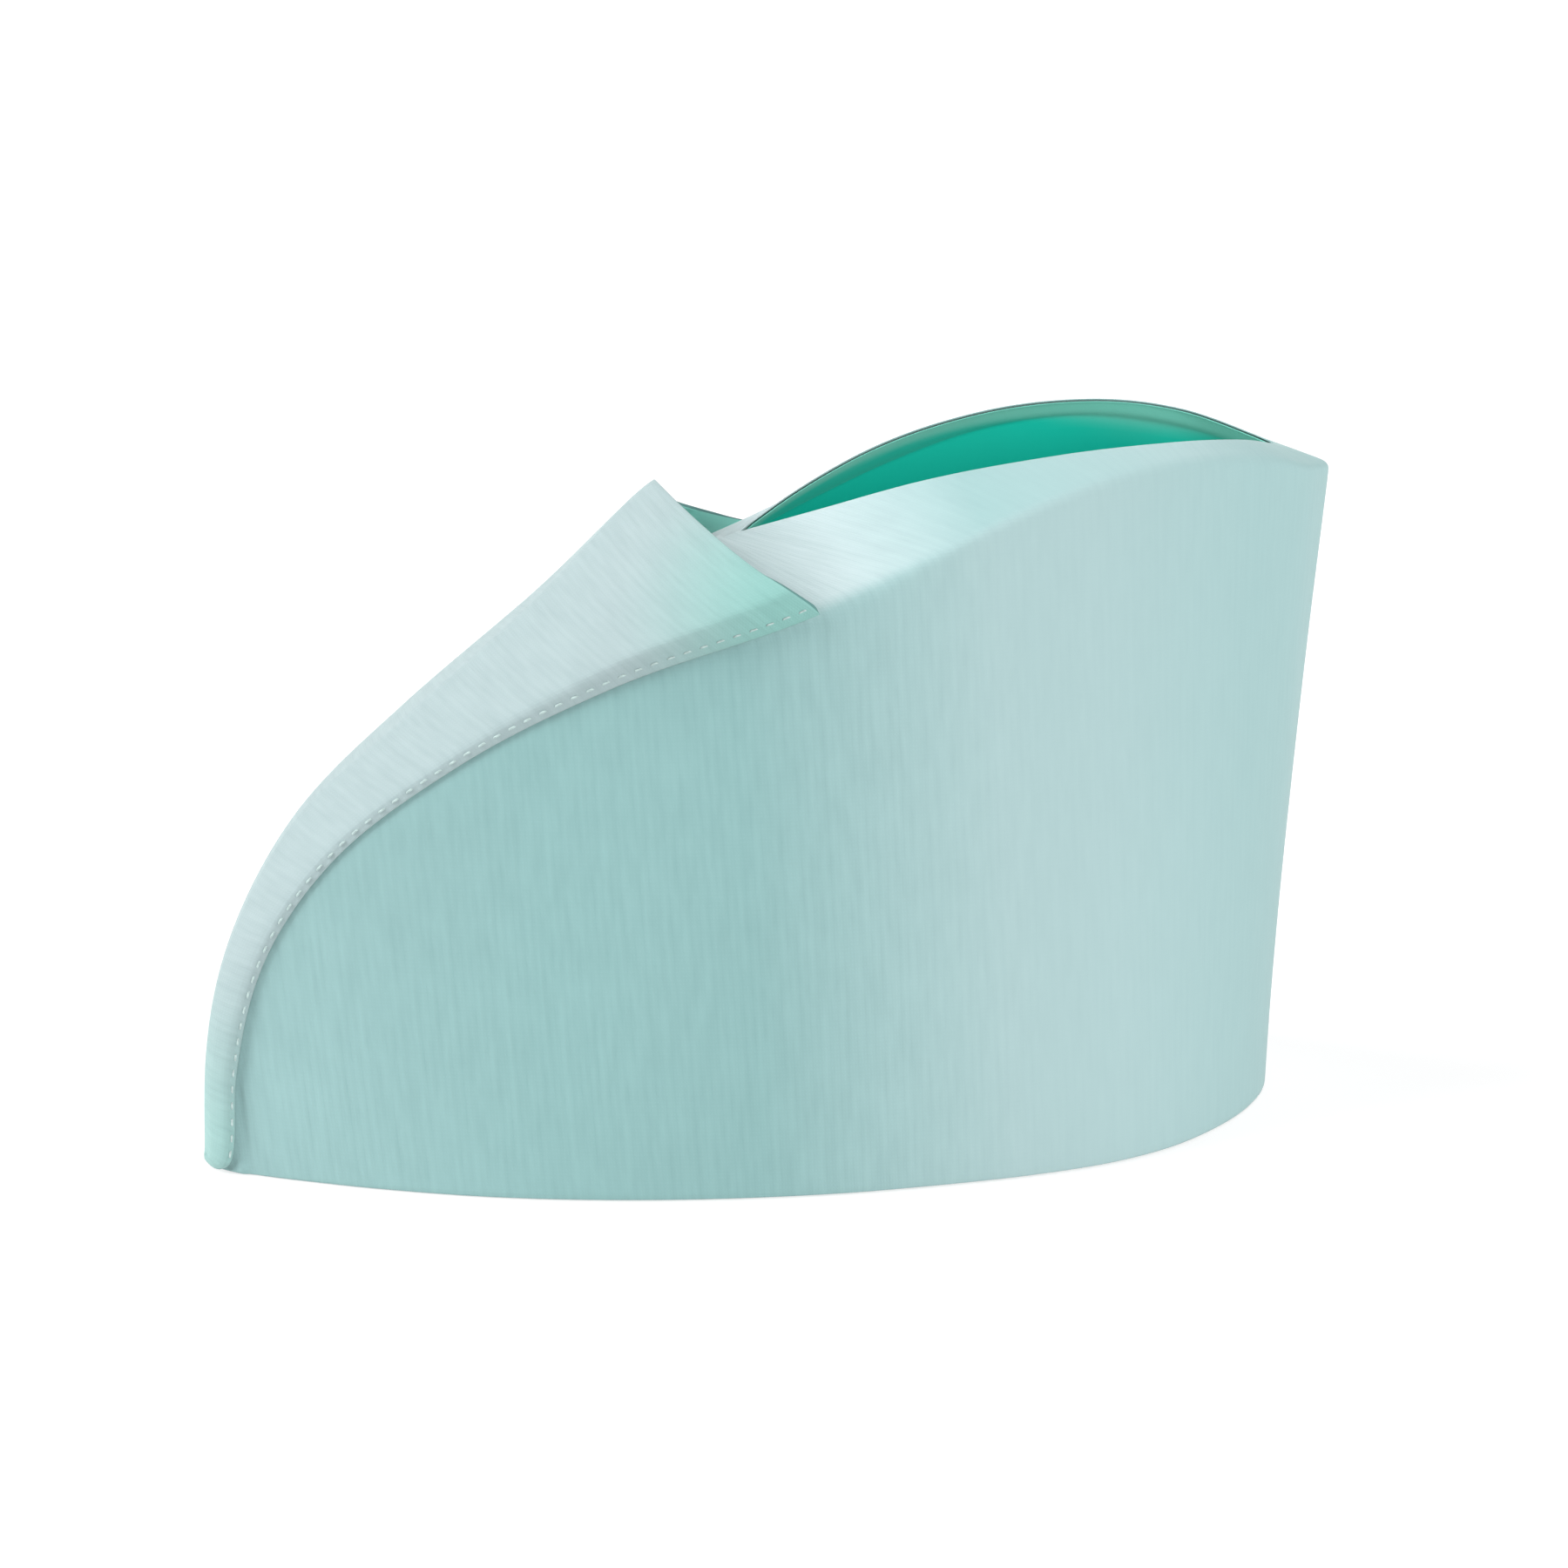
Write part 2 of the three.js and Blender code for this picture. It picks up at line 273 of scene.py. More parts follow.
def band_normals(sizes, along, level):
    """Outward directions of the band's face, level at the joined rim."""
    probe = 1e-4
    up = np.minimum(level + probe, 3.0)
    down = np.maximum(level - probe, 0.0)
    below_rim = np.minimum(level, 2.99)
    ahead = band_points(sizes, along + probe, below_rim)
    round_way = ahead - band_points(sizes, along - probe, below_rim)
    up_way = band_points(sizes, along, up) - band_points(sizes, along, down)
    normals = np.cross(round_way, up_way)
    normals[(level >= 3) & (along <= OPENING_START), 1] = 0
    return normals / np.linalg.norm(normals, axis=1, keepdims=True)


def soft_unevenness(points, amount):
    """How far stiff cloth stands out or in at each point, for its slow soft waves."""
    # share, waves to the metre along each axis, and where the pattern starts
    waves = (
        (0.62, (11.0, 3.0, 5.0), (0.3, 1.1, 0.4)),
        (0.38, (27.0, 9.0, 13.0), (2.1, 0.2, 3.7)),
    )
    moved = np.zeros(len(points))
    for share, pitch, start in waves:
        for row, point in enumerate(points):
            place = Vector([point[k] * pitch[k] + start[k] for k in range(3)])
            moved[row] += share * noise.noise(place)
    return moved * amount


def layer_grid(sizes, along, level, out):
    """Grid of points of a layer of cloth, so far out of the band's outer face."""
    shares = np.repeat(along, level.shape[1])
    levels = level.ravel()
    outs = np.broadcast_to(out, level.shape).ravel()
    points = band_points(sizes, shares, levels)
    normals = band_normals(sizes, shares, levels)
    # All layers take the same waves, which die out towards the hem and the rim.
    calm = np.clip(levels / 0.12, 0, 1) * np.clip((3 - levels) / 0.4, 0, 1)
    outs = outs + soft_unevenness(points * (1, 0, 1) + (0, 0.05, 0), sizes.unevenness) * calm
    round_bend = np.exp(-((shares - BEND_MIDDLE) / BEND_SPREAD) ** 2)
    bend = round_bend * np.sin(math.pi * np.clip(levels, 0, 1))
    outs = outs + sizes.side_bend * bend
    return (points + normals * outs[:, None]).reshape(level.shape + (3,))


def flap_grid(sizes, along, level, out):
    """The same for the flap, which lifts off the folded top towards its free end."""
    lift = section_points(sizes, along)[4][:, None]
    rise = (level - FLAP_START_LEVEL) / (3 - FLAP_START_LEVEL)
    points = layer_grid(sizes, along, level, out)
    points += LIFT_WAY * (rise * lift * sizes.flap_lift)[..., None]
    points += BULGE_WAY * (2 * rise * (1 - rise) * lift * sizes.flap_bulge)[..., None]
    return points


def kept_apart(inner):
    """The near half's inner face stays on its own side of the middle plane."""
    inner[1:-1, :-1, 1] = np.minimum(inner[1:-1, :-1, 1], -MIDDLE_CLEARANCE)
    return inner


def run_lengths(sizes, along):
    """Lengths of the folded top at shares of the way round."""
    _, fold, rim, _, _ = section_points(sizes, along)
    return np.linalg.norm(rim - fold, axis=1)


# Cloth as a closed shell


def level_rows(top_run, wall_rows, top_rows):
    """Levels of each section, with a close row at the hem and at the rim for the edges."""
    wall = [0.0, HEM_ROW_LEVEL] + [(i + 1) / wall_rows for i in range(wall_rows - 1)]
    fold = [1.0, 1.25, 1.5, 1.75]
    top = [2 + i / top_rows for i in range(top_rows)]
    rows = np.tile(np.array(wall + fold + top + [0.0, 3.0]), (len(top_run), 1))
    rows[:, -2] = 3 - np.minimum(EDGE_ROW / top_run, 0.5 / top_rows)
    return rows


def round_shares(start, end, steps, crowding=1.0):
    """Shares from the start up to the end, which crowd at the start above 1."""
    return start + (end - start) * (np.arange(steps) / steps) ** crowding


def whole_round():
    """Shares of the way round, close together at the back tip."""
    return np.concatenate([
        round_shares(0.0, FLAP_END, 74, TIP_CROWDING),
        round_shares(FLAP_END, OPENING_START, 8),
        round_shares(OPENING_START, 1.0, 56),
        [1.0],
    ])


def cloth_lengths(grid):
    """Each point's distance round the cap and up the cloth, for the weave."""
    round_steps = np.linalg.norm(np.diff(grid, axis=0), axis=2)
    up_steps = np.linalg.norm(np.diff(grid, axis=1), axis=2)
    foot = np.concatenate([[0.0], np.cumsum(round_steps[:, 0])])
    up = np.concatenate([np.zeros((len(grid), 1)), np.cumsum(up_steps, axis=1)], axis=1)
    return np.stack([np.broadcast_to(foot[:, None], up.shape), up], axis=2)


def cloth_object(name, shares, near, painted_light, materials, far=None):
    """Closed shell between an outer and an inner face of the near half, and its mirror.

    The halves meet where the rim lies on the middle plane. The inner face takes the
    second material and a free end the last one. far gives the two faces that are
    mirrored, where they differ.
    painted_light is how much each point is painted lighter, from 0 to 1, standing in for light and
    shade."""
    lengths = cloth_lengths(near[0])
    rows, columns = near[0].shape[:2]
    last = columns - 1
    mesh = bmesh.new()
    weave = mesh.loops.layers.uv.new("weave")
    pale = mesh.verts.layers.float.new("painted_light")

    def points_of(face):
        lines = [[mesh.verts.new(p) for p in line] for line in face]
        for line, shades in zip(lines, painted_light):
            for point, share in zip(line, shades):
                point[pale] = share
        return lines

    def side(outside, inside, turned):
        out_points = points_of(outside)
        in_points = points_of(inside)
        sign = -1.0 if turned else 1.0

        def quad(corners, material):
            places = [(line[i][j], i, j) for line, i, j in corners]
            if turned:
                places.reverse()
            face = mesh.faces.new([place[0] for place in places])
            face.material_index = material
            face.smooth = True
            for loop, (_, i, j) in zip(face.loops, places):
                round_way, up_way = lengths[i, j] * MAP_UNITS
                loop[weave].uv = (sign * round_way, up_way)

        a, b = out_points, in_points
        for i in range(rows - 1):
            for j in range(last):
                quad([(a, i, j), (a, i + 1, j), (a, i + 1, j + 1), (a, i, j + 1)], 0)
                quad([(b, i, j), (b, i, j + 1), (b, i + 1, j + 1), (b, i + 1, j)], 1)
            quad([(b, i, 0), (b, i + 1, 0), (a, i + 1, 0), (a, i, 0)], 0)
            if shares[i + 1] > OPENING_START:
                quad([(a, i, last), (a, i + 1, last), (b, i + 1, last), (b, i, last)], 0)
        if shares[-1] < 1:
            end = rows - 1
            for j in range(last):
                corners = [(a, end, j), (b, end, j), (b, end, j + 1), (a, end, j + 1)]
                quad(corners, len(materials) - 1)

    mirror = np.array((1.0, -1.0, 1.0))
    move = np.array((BACK_TIP_X, 0.0, 0.0))
    side(near[0] + move, near[1] + move, False)
    side((far or near)[0] * mirror + move, (far or near)[1] * mirror + move, True)
    bmesh.ops.remove_doubles(mesh, verts=mesh.verts, dist=2e-6)
    bmesh.ops.dissolve_degenerate(mesh, dist=1e-7, edges=mesh.edges)
    open_edges = [edge for edge in mesh.edges if not edge.is_manifold]
    if open_edges:
        raise RuntimeError(f"{name} isn't closed: {len(open_edges)} open edges")
    data = bpy.data.meshes.new(name)
    mesh.to_mesh(data)
    mesh.free()
    for material in materials:
        data.materials.append(material)
    cloth = bpy.data.objects.new(name, data)
    bpy.context.collection.objects.link(cloth)
    smooth = cloth.modifiers.new("Soft cloth", "SUBSURF")
    smooth.levels = 1
    smooth.render_levels = 1
    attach(cloth, "root")
    return cloth


# Materials


def node(tree, kind, place, **values):
    """New node. Each value goes to the input of that name, or else to the setting."""
    made = tree.nodes.new(kind)
    made.location = place
    for name, value in values.items():
        if name in made.inputs:
            made.inputs[name].default_value = value
        else:
            setattr(made, name, value)
    return made


def put(tree, socket, value):
    """Link another node's output to the socket, or set the socket's own value."""
    if isinstance(value, bpy.types.NodeSocket):
        tree.links.new(value, socket)
    else:
        socket.default_value = value


def math_node(tree, operation, first, second, place):
    made = node(tree, "ShaderNodeMath", place, operation=operation)
    put(tree, made.inputs[0], first)
    put(tree, made.inputs[1], second)
    return made.outputs[0]


def stretched_range(tree, value, before, after, place):
    """The value, stretched from one range onto another."""
    made = node(tree, "ShaderNodeMapRange", place)
    for name, number in zip(("From Min", "From Max", "To Min", "To Max"), before + after):
        made.inputs[name].default_value = number
    tree.links.new(value, made.inputs["Value"])
    return made.outputs["Result"]


def mixed_colour(tree, share, first, second, place, blend="MIX"):
    made = node(tree, "ShaderNodeMix", place, data_type="RGBA", blend_type=blend)
    put(tree, made.inputs[MIX_SHARE], share)
    put(tree, made.inputs[COLOUR_A], first)
    put(tree, made.inputs[COLOUR_B], second)
    return made.outputs[MIXED_COLOUR]


def mixed_number(tree, share, first, second, place):
    made = node(tree, "ShaderNodeMix", place, data_type="FLOAT")
    put(tree, made.inputs[MIX_SHARE], share)
    put(tree, made.inputs[NUMBER_A], first)
    put(tree, made.inputs[NUMBER_B], second)
    return made.outputs[MIXED_NUMBER]


def wave_bands(tree, place, vector, direction, scale, distortion):
    """Bands of the wave pattern, across the given direction of the vector."""
    made = node(tree, "ShaderNodeTexWave", place, Scale=scale, Distortion=distortion)
    made.wave_type = "BANDS"
    made.bands_direction = direction
    tree.links.new(vector, made.inputs["Vector"])
    return made.outputs["Fac"]


def cloth_material(name, colour, pale, rib_pitch, rib_depth, sheen=0.12, seen=1.0, painted_glow=0.0):
    """Stiff cloth with uneven upright slubs, crossed by fine threads, and soft mottling.

    seen is how much the slubs lighten the cloth. painted_glow is painted light: the cloth emits it in
    place of light that comes through it. pale is its colour where painted light falls."""
    material = bpy.data.materials.new(name)
    material.use_nodes = True
    tree = material.node_tree
    tree.nodes.clear()
    link = tree.links.new
    output = node(tree, "ShaderNodeOutputMaterial", (900, 0))
    cloth = node(tree, "ShaderNodeBsdfPrincipled", (600, 0))
    cloth.inputs["Specular IOR Level"].default_value = 0.25
    cloth.inputs["Sheen Weight"].default_value = sheen
    cloth.inputs["Sheen Roughness"].default_value = 0.5
    link(cloth.outputs["BSDF"], output.inputs["Surface"])

    weave = node(tree, "ShaderNodeUVMap", (-1200, 0), uv_map="weave")
    across = WAVE_BAND / (MAP_UNITS * rib_pitch)
    uv = weave.outputs["UV"]
    ribs = wave_bands(tree, (-900, 100), uv, "X", across, 0.25)
    threads = wave_bands(tree, (-900, -150), uv, "Y", across * 2.2, 0.4)
    fine = wave_bands(tree, (-900, -400), uv, "X", across * 3, 0.3)
    stretched = node(
        tree, "ShaderNodeMapping", (-1200, -700), Scale=(across * 2.6, across * 0.5, 1))
    link(uv, stretched.inputs["Vector"])
    slubs = node(tree, "ShaderNodeTexNoise", (-900, -700), Scale=1.0, Detail=2.0)
    link(stretched.outputs["Vector"], slubs.inputs["Vector"])
    clear = stretched_range(tree, slubs.outputs["Fac"], (0.3, 0.7), (0.0, 1.0), (-650, -700))
    grid = math_node(tree, "MULTIPLY", threads, fine, (-650, -250))
    ribs_share = math_node(tree, "MULTIPLY", ribs, RIBS_SHARE, (-650, 50))
    grid_share = math_node(tree, "MULTIPLY", grid, THREADS_SHARE, (-450, -250))
    slubs_share = math_node(tree, "MULTIPLY", clear, SLUBS_SHARE, (-450, -700))
    woven = math_node(tree, "ADD", ribs_share, grid_share, (-250, -50))
    relief = math_node(tree, "ADD", woven, slubs_share, (-100, -50))

    # The weave shows less towards the bright front
    place = node(tree, "ShaderNodeTexCoord", (-1200, 500))
    sides = node(tree, "ShaderNodeSeparateXYZ", (-900, 950))
    link(place.outputs["Object"], sides.inputs["Vector"])
    shown = stretched_range(tree, sides.outputs["X"], (0.005, 0.045), (1.0, 0.3), (-650, 950))
    height = mixed_number(tree, shown, 0.45, relief, (50, -50))
    bump = node(tree, "ShaderNodeBump", (300, -300), Strength=0.45, Distance=rib_depth)
    link(height, bump.inputs["Height"])
    link(bump.outputs["Normal"], cloth.inputs["Normal"])

    patches = node(tree, "ShaderNodeTexNoise", (-900, 500), Scale=26.0, Detail=3.0)
    link(place.outputs["Object"], patches.inputs["Vector"])
    uneven = math_node(tree, "MULTIPLY", patches.outputs["Fac"], 0.3, (-650, 500))
    # The cloth is lighter where the weave's relief stands higher, by the share seen
    relief_lightening = math_node(tree, "MULTIPLY", height, seen, (-100, 150))
    share = math_node(tree, "ADD", uneven, relief_lightening, (0, 350))
    # Painted light: where a point is painted lighter, the cloth's colour is mixed towards its lit
    # colour
    lit = node(tree, "ShaderNodeAttribute", (-400, 800), attribute_name="painted_light")
    dye_and_painted_light = mixed_colour(
        tree, lit.outputs["Fac"], (*colour, 1), (*pale, 1), (0, 650))
    shaded = mixed_colour(tree, 1.0, dye_and_painted_light, (0.86, 0.88, 0.88, 1), (0, 450), "MULTIPLY")
    tint = mixed_colour(tree, share, shaded, dye_and_painted_light, (250, 300))
    link(tint, cloth.inputs["Base Color"])
    link(tint, cloth.inputs["Emission Color"])
    cloth.inputs["Emission Strength"].default_value = painted_glow
    rough = stretched_range(tree, patches.outputs["Fac"], (0.0, 1.0), (0.72, 0.92), (250, 50))
    link(rough, cloth.inputs["Roughness"])
    return material


def thread_material(name, colour):
    """Twisted sewing thread."""
    material = bpy.data.materials.new(name)
    material.use_nodes = True
    tree = material.node_tree
    tree.nodes.clear()
    link = tree.links.new
    output = node(tree, "ShaderNodeOutputMaterial", (600, 0))
    thread = node(tree, "ShaderNodeBsdfPrincipled", (300, 0))
    thread.inputs["Sheen Weight"].default_value = 0.2
    link(thread.outputs["BSDF"], output.inputs["Surface"])
    place = node(tree, "ShaderNodeTexCoord", (-900, 0))
    twist = wave_bands(tree, (-600, 0), place.outputs["Object"], "DIAGONAL", 420.0, 0.5)
    shaded = (*[0.8 * c for c in colour], 1)
    tint = mixed_colour(tree, twist, shaded, (*colour, 1), (0, 100))
    link(tint, thread.inputs["Base Color"])
    rough = stretched_range(tree, twist, (0.0, 1.0), (0.55, 0.8), (0, -100))
    link(rough, thread.inputs["Roughness"])
    bump = node(tree, "ShaderNodeBump", (0, -300), Strength=0.4, Distance=0.0001)
    link(twist, bump.inputs["Height"])
    link(bump.outputs["Normal"], thread.inputs["Normal"])
    return material


# Sizes and colours


def length_property(name, description, default):
    return bpy.props.FloatProperty(
        name=name, description=description, default=default, min=0.0,
        subtype="DISTANCE", unit="LENGTH", precision=4,
    )


def colour_property(name, description, default):
    return bpy.props.FloatVectorProperty(
        name=name, description=description, default=default, min=0.0, max=1.0,
        subtype="COLOR", size=3,
    )


class CapSizes(bpy.types.PropertyGroup):
    """Sizes of the cap"""

    hem_length: length_property("Hem length", "Hem ring, back tip to front", 0.2387)
    hem_width: length_property("Hem width", "Hem ring, side to side at its widest", 0.119)
    cap_height: length_property("Height", "Hem to the top of the opening's rim", 0.1485)
    front_flare: length_property("Front flare", "How far the top of the front leans out", 0.014)
    fold_width: length_property("Fold width", "Side to side where the top folds inwards", 0.0766)
    opening_width: length_property("Opening width", "The open top, side to side", 0.05)
    fold_softness: length_property("Fold softness", "How far each side of the fold is rounded", 0.004)
    flap_lift: length_property("Flap lift", "How far the flap's end stands off the top", 0.017)
    flap_bulge: length_property("Flap bulge", "How far the flap's end is rounded outwards", 0.013)
    far_reach: length_property("Far reach", "How much further the flap's far corner reaches", 0.007)
    far_lift: length_property("Far corner lift", "How much higher the flap's far corner stands", 0.003)
    band_wall: length_property("Band thickness", "Cloth of the band", 0.0012)
    rim_wall: length_property("Rim thickness", "Cloth of the band at the opening's rim", 0.0003)
    lining_wall: length_property("Lining thickness", "Cloth of the lining", 0.001)
    flap_wall: length_property("Flap thickness", "Cloth of the flap", 0.0012)
    layer_gap: length_property("Layer gap", "Space between two layers of cloth", 0.0003)
    lining_rise: length_property("Lining rise", "Lining's bottom edge above the hem", 0.004)
    lining_setback: length_property("Lining setback", "Lining's top edge from the rim", 0.0001)
    unevenness: length_property("Unevenness", "Height of the cloth's slow waves", 0.0012)
    side_bend: length_property("Side bend", "How far the middle of each side bends out", 0.003)
    stitch_length: length_property("Stitch length", "One stitch along the flap's edge", 0.0018)
    stitch_pitch: length_property("Stitch pitch", "One stitch to the next", 0.0036)
    stitch_inset: length_property("Stitch inset", "Stitches to the flap's edge", 0.0012)
    rib_pitch: length_property("Rib pitch", "One upright rib of the cloth to the next", 0.0019)
    rib_depth: length_property("Rib depth", "Height of the ribs", 0.0003)


class CapColours(bpy.types.PropertyGroup):
    """Colours of the cap and its stage"""

    outer: colour_property("Outer cloth", "Aqua cloth of the band", (0.166, 0.290, 0.287))
    # The lit colours are painted light: each cloth is mixed towards its lit colour where its points
    # are painted lighter
    outer_lit: colour_property("Lit outer cloth", "The same, bleached", (0.330, 0.405, 0.415))
    flap: colour_property("Flap cloth", "Aqua cloth of the flap", (0.155, 0.312, 0.288))
    flap_lit: colour_property("Lit flap cloth", "The same, bleached", (0.224, 0.284, 0.290))
    lining: colour_property("Lining cloth", "Deep teal cloth", (0.0, 0.318, 0.244))
    lining_lit: colour_property("Lit lining cloth", "The same, bleached", (0.125, 0.38, 0.315))
    underside: colour_property("Flap underside", "Teal cloth", (0.16, 0.43, 0.37))
    # Painted shade on the flap's free end
    flap_edge_shade: colour_property("Flap edge", "Shaded free edge of the flap", (0.075, 0.17, 0.16))
    thread: colour_property("Thread", "Sewing thread", (0.30, 0.39, 0.38))
    floor: colour_property("Floor", "Plain pale floor", (0.30, 0.30, 0.30))


# Operators, one for each piece


class CapOperator:
    """What the cap's operators share"""

    bl_options = {"REGISTER", "UNDO"}

    def execute(self, context):
        self.make(context.scene.cap_sizes, context.scene.cap_colours)
        return {"FINISHED"}


def wall_inset(sizes, level, along):
    """The band's thickness, which thins out at the rim of the open top."""
    thin = np.clip((level - 2.2) / 0.7, 0, 1) * (along[:, None] > OPENING_START)
    return sizes.band_wall + (sizes.rim_wall - sizes.band_wall) * thin


def flap_face(sizes, level):
    """How far the flap's outer face stands off the band. Its lower edge is pressed thin."""
    share = 0.4 + 0.6 * smooth_step(level, FLAP_START_LEVEL, FLAP_START_LEVEL + 0.3)
    return sizes.layer_gap + sizes.flap_wall * share


class NURSECAP_OT_band(CapOperator, bpy.types.Operator):
    """Make the band, which stands round the hem and folds in at the top"""

    bl_idname = "nurse_cap.band"
    bl_label = "Band"

    def make(self, sizes, colours):
        shares = whole_round()
        level = level_rows(run_lengths(sizes, shares), wall_rows=14, top_rows=8)
        outer = layer_grid(sizes, shares, level, 0.0)
        inner = kept_apart(layer_grid(sizes, shares, level, -wall_inset(sizes, level, shares)))
        inner[:, 0, 2] = 0.0
        outer_cloth = cloth_material(
            "outer cloth", colours.outer, colours.outer_lit, sizes.rib_pitch, sizes.rib_depth)
        # Painted light on the band: lighter on the wall where light falls and on the top over the
        # flap's shadow, blended across the fold
        x = outer[..., 0] + BACK_TIP_X
        wall = np.interp(x, WALL_LIGHT_X, WALL_PAINTED_LIGHT)
        top = np.interp(x, TOP_LIGHT_X, TOP_PAINTED_LIGHT)
        painted_light = wall + (top - wall) * smooth_step(level, 1.4, 2.1)
        band = cloth_object(
            "band_cloth", shares, (outer, inner), painted_light, [outer_cloth, outer_cloth])
        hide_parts("band")


class NURSECAP_OT_lining(CapOperator, bpy.types.Operator):
    """Make the teal lining inside the band"""

    bl_idname = "nurse_cap.lining"
    bl_label = "Lining"

    def make(self, sizes, colours):
        shares = whole_round()
        top_run = run_lengths(sizes, shares)
        level = level_rows(top_run, wall_rows=16, top_rows=6)
        crowded_at_fold = 1 - np.clip(1 - level, 0, 1) ** FOLD_CROWDING
        level = np.where(level < 1, crowded_at_fold, level)
        setback = (sizes.lining_setback / top_run * (shares > OPENING_START))[:, None]
        level = np.where(level > 2, 2 + (level - 2) * (1 - setback), level)
        rise = sizes.lining_rise / sizes.cap_height
        level[:, 0] = rise
        level[:, 1] = rise + HEM_ROW_LEVEL
        out = wall_inset(sizes, level, shares) + sizes.layer_gap
        outer = kept_apart(layer_grid(sizes, shares, level, -out))
        thinned = 1 - 0.75 * smooth_step(level, 2.3, 2.95) * (shares[:, None] > OPENING_START)
        inner = kept_apart(
            layer_grid(sizes, shares, level, -out - sizes.lining_wall * thinned))
        # The lining glows a little: painted light, emitted in place of light that shines through the
        # thin cloth
        lining_cloth = cloth_material(
            "lining cloth", colours.lining, colours.lining_lit, sizes.rib_pitch,
            sizes.rib_depth / 3, sheen=0.02, seen=0.3, painted_glow=0.35)
        # Painted light on the lining, lightest at its upper edge
        up = cloth_lengths(outer)[..., 1]
        painted_light = 1 - smooth_step(up[:, -1:] - up, *LINING_LIGHT_ZONE)
        lining = cloth_object(
            "lining_cloth", shares, (outer, inner), painted_light, [lining_cloth, lining_cloth])
        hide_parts("lining")


class NURSECAP_OT_flap(CapOperator, bpy.types.Operator):
    """Make the back flap, which folds over the back and lifts into a peak"""

    bl_idname = "nurse_cap.flap"
    bl_label = "Back Flap"

    def make(self, sizes, colours):
        shares = np.concatenate([
            round_shares(0.0, FLAP_END, 88, TIP_CROWDING), [FLAP_END - 0.0012, FLAP_END]])
        rows = np.concatenate([
            [1.5, 1.53, 1.6, 1.68, 1.76, 1.84, 1.92], np.linspace(2, 3, 15)])
        level = np.tile(rows, (len(shares), 1))
        level[:, -2] = 3 - np.minimum(EDGE_ROW / run_lengths(sizes, shares), 0.03)
        outer = flap_grid(sizes, shares, level, flap_face(sizes, level))
        inner = flap_grid(sizes, shares, level, sizes.layer_gap)
        lift = section_points(sizes, shares)[4][:, None]
        fall = (3 - level) / (3 - FLAP_START_LEVEL)
        forward = (lift ** 4 * fall ** 2 * sizes.far_reach)[..., None] * (1.0, 0.0, 0.0)
        upward = (lift ** 4 * fall ** 4 * sizes.far_lift)[..., None] * (0.0, 0.0, 1.0)
        far = (outer + forward + upward, inner + forward + upward)
        rise = 1 - fall[-1]
        peeping = smooth_step(rise, 0.02, 0.1) * (1 - smooth_step(rise, 0.4, 0.5))
        inner[-1] += peeping[:, None] * UNDERSIDE_REACH
        flap_cloth = cloth_material(
            "flap cloth", colours.flap, colours.flap_lit, sizes.rib_pitch, sizes.rib_depth)
        under_cloth = cloth_material(
            "flap underside", colours.underside, colours.underside, sizes.rib_pitch,
            sizes.rib_depth / 3, sheen=0.02)
        # The flap's free end takes a dark cloth: painted shade, for the shadow in the gap between the
        # flap and the band
        edge_shade_cloth = cloth_material(
            "flap edge", colours.flap_edge_shade, colours.flap_edge_shade, sizes.rib_pitch,
            sizes.rib_depth / 3, sheen=0.02)
        # Painted shade darkens the flap towards its near corner, where it turns away from the light.
        # The flap is also less light towards its foot.
        corner = outer[-1, 0]
        from_corner = np.linalg.norm(outer - corner, axis=2)
        foot = 0.35 + 0.65 * smooth_step(outer[..., 2], 0.0, 0.05)
        painted_light = smooth_step(from_corner, 0.008, 0.045) * foot
        flap = cloth_object(
            "flap_cloth", shares, (outer, inner), painted_light,
            [flap_cloth, under_cloth, edge_shade_cloth], far)
        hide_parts("back_flap")


